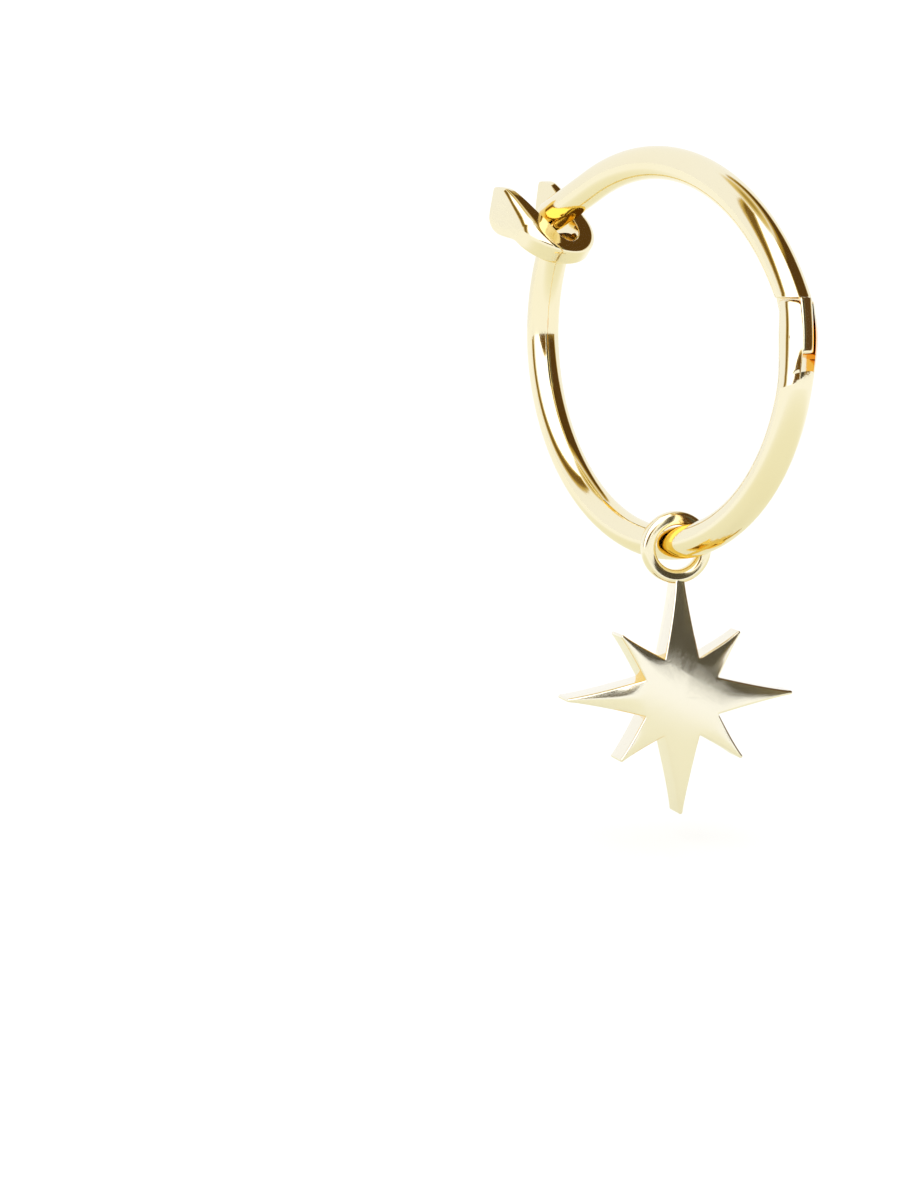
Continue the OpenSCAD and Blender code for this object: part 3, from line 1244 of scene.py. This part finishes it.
@dataclass(frozen=True)
class TableFinish:
    """White lacquer with a faint gloss, which the metal mirrors in one colour near by and another far off."""

    white: Colour = (0.985, 0.985, 0.985)
    near: Colour = (0.83, 0.81, 0.63)
    far: Colour = (0.94, 0.94, 0.91)
    fade: Pair = (0.026, 0.06)
    gloss: float = 0.22
    ior: float = 1.12
    rough: float = 0.12
    cloud: float = 0.06
    cloud_noise: tuple[float, float, float] = (25.0, 2.0, 0.5)

    def material(self) -> bpy.types.Material:
        """Builds the material.

        Returns:
            The material.
        """
        made = bpy.data.materials.new("table_white")
        made.use_nodes = True
        kit = NodeKit(made.node_tree)
        shade = made.node_tree.nodes["Principled BSDF"]
        kit.set(shade, Specular_IOR_Level=0.0, Coat_IOR=self.ior)
        place = kit.add("TexCoord").outputs["Object"]
        cloud = kit.math("MULTIPLY", kit.noise(place, *self.cloud_noise), self.cloud)
        kit.link(kit.math("ADD", cloud, self.rough), shade.inputs["Coat Roughness"])
        glossy = kit.add("LightPath").outputs["Is Glossy Ray"]
        direct = kit.math("SUBTRACT", 1.0, glossy)
        kit.link(kit.math("MULTIPLY", direct, self.gloss), shade.inputs["Coat Weight"])
        reach = kit.add("VectorMath", operation="LENGTH")
        kit.link(place, reach.inputs[0])
        away = kit.math("MULTIPLY", glossy, kit.ease(reach.outputs["Value"], *self.fade))
        seen = kit.blend(kit.blend(kit.colour(self.white), self.near, glossy), self.far, away)
        kit.link(seen, shade.inputs["Base Color"])
        return made


@dataclass
class Studio:
    """Pale table, white room with a softbox and two dark sides for the metal to mirror, and the camera."""

    layout: HoopLayout
    azimuth: float = 55.7
    elevation: float = 6.0
    distance: float = 104.8
    focal_px: float = 3333.3
    hoop_px: Pair = (664.0, 336.7)
    sensor: float = 36.0
    clip: Pair = (0.005, 20.0)
    floor_z: float = -21.35
    floor_r: float = 900.0
    floor_t: float = 4.0
    floor_rings: tuple[float, ...] = (0.02, 0.2, 0.6, 1.0)
    floor_sides: int = 240
    light: float = 1.12
    backdrop: Colour = (1.0, 1.0, 1.0)
    table: TableFinish = TableFinish()
    patches: tuple[Patch, ...] = (
        Patch((-400.0, 400.0), (70.0, 120.0), (0.42, 0.28, 0.06), (0.75, 0.58, 0.22), 16.0),
        Patch((-97.0, -6.0), (-9.0, 74.0), (1.8, 1.8, 1.8), (1.0, 1.0, 1.0), 4.0),
        Patch((-62.0, -14.0), (-9.0, 12.0), (0.16, 0.08, 0.015), (0.60, 0.40, 0.08), 5.0, 3.0),
        Patch((-124.0, -101.0), (-8.0, 72.0), (0.20, 0.11, 0.018), (0.62, 0.43, 0.10), 9.0, 0.22, 0.32),
        Patch((-14.0, 62.0), (-12.0, 74.0), (0.098, 0.046, 0.008), (0.50, 0.32, 0.05), 15.0, 0.0, 1.2),
        Patch((-14.0, 14.0), (-14.0, 29.0), (0.070, 0.058, 0.032), (0.30, 0.25, 0.11), 4.0),
    )

    def view_axes(self) -> tuple[np.ndarray, np.ndarray, np.ndarray]:
        """Directions of the camera: (sin a cos e, -cos a cos e, sin e) backwards, (cos a, sin a, 0) right.

        Returns:
            Right, up and backward unit vectors.
        """
        a, e = math.radians(self.azimuth), math.radians(self.elevation)
        back = np.array([math.sin(a) * math.cos(e), -math.cos(a) * math.cos(e), math.sin(e)])
        right = np.array([math.cos(a), math.sin(a), 0.0])
        return right, np.cross(back, right), back

    def camera(self) -> bpy.types.Object:
        """Camera that sees the hoop's centre at its pixel of the photograph, at the fitted distance.

        Returns:
            The camera.
        """
        right, up, back = self.view_axes()
        centre = np.array([self.layout.hoop.centre[0], 0.0, self.layout.hoop.centre[1]])
        dx = (self.hoop_px[0] - PHOTO_SIZE[0] / 2) / self.focal_px * self.distance
        dy = (PHOTO_SIZE[1] / 2 - self.hoop_px[1]) / self.focal_px * self.distance
        place = centre + back * self.distance - right * dx - up * dy
        data = bpy.data.cameras.new("camera")
        data.sensor_width = self.sensor
        data.lens = self.focal_px / PHOTO_SIZE[1] * data.sensor_width
        data.clip_start, data.clip_end = self.clip
        made = bpy.data.objects.new("camera", data)
        axes = Matrix(np.column_stack([right, up, back]).tolist()).to_4x4()
        made.matrix_world = Matrix.Translation(Vector(place * MM)) @ axes
        bpy.context.scene.collection.objects.link(made)
        bpy.context.scene.camera = made
        return made

    def floor(self) -> bpy.types.Object:
        """Flat round table: rings of radius share * R at its height, closed by the same rings below.

        Returns:
            The table.
        """
        bearing = turns(self.floor_sides)
        reach = np.array(self.floor_rings)[:, None] * self.floor_r
        x, y = reach * np.cos(bearing), reach * np.sin(bearing)
        top = np.stack([x, y, np.full_like(x, self.floor_z)], -1)
        under = top[::-1] - np.array([0.0, 0.0, self.floor_t])
        made = grid_mesh("table", np.concatenate([top, under]))
        made.data.materials.append(self.table.material())
        return made

    def world(self) -> None:
        """White room for light and camera; mirrored rays see the softbox, its frame and the dark sides."""
        scene = bpy.context.scene
        world = bpy.data.worlds.new("studio")
        scene.world = world
        world.use_nodes = True
        world.node_tree.nodes.clear()
        kit = NodeKit(world.node_tree)
        parts = kit.add("SeparateXYZ")
        kit.link(kit.add("TexCoord").outputs["Generated"], parts.inputs["Vector"])
        x, y, z = parts.outputs
        degrees = 180.0 / math.pi
        bearing = kit.math("MULTIPLY", kit.math("ARCTAN2", y, x), degrees)
        height = kit.math("MULTIPLY", kit.math("ARCSINE", z), degrees)
        colour = kit.colour(self.backdrop)
        for patch in self.patches:
            colour = patch.over(kit, colour, bearing, height)
        plain, mirrored, both = kit.add("Background"), kit.add("Background"), kit.add("MixShader")
        kit.set(plain, Color=(1.0, 1.0, 1.0, 1.0), Strength=self.light)
        kit.link(colour, mirrored.inputs["Color"])
        kit.link(kit.add("LightPath").outputs["Is Glossy Ray"], both.inputs["Fac"])
        kit.link(plain.outputs["Background"], both.inputs[1])
        kit.link(mirrored.outputs["Background"], both.inputs[2])
        kit.link(both.outputs["Shader"], kit.add("OutputWorld").inputs["Surface"])
        scene.view_settings.view_transform = "Standard"

    def build(self) -> None:
        """Sets up the room, the table and the camera."""
        self.world()
        self.floor()
        self.camera()
        LOG.info("studio ready")


def main() -> None:
    """Builds the earring over its frame, then the studio."""
    logging.basicConfig(level=logging.INFO, format="%(message)s")
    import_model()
    layout = HoopLayout()
    for part in (LowerArc(layout), WingedCatch(layout), PostArc(layout), HingePin(layout), StarCharm(layout)):
        part.build()
    Studio(layout).build()
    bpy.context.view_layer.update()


if __name__ == "__main__":
    main()
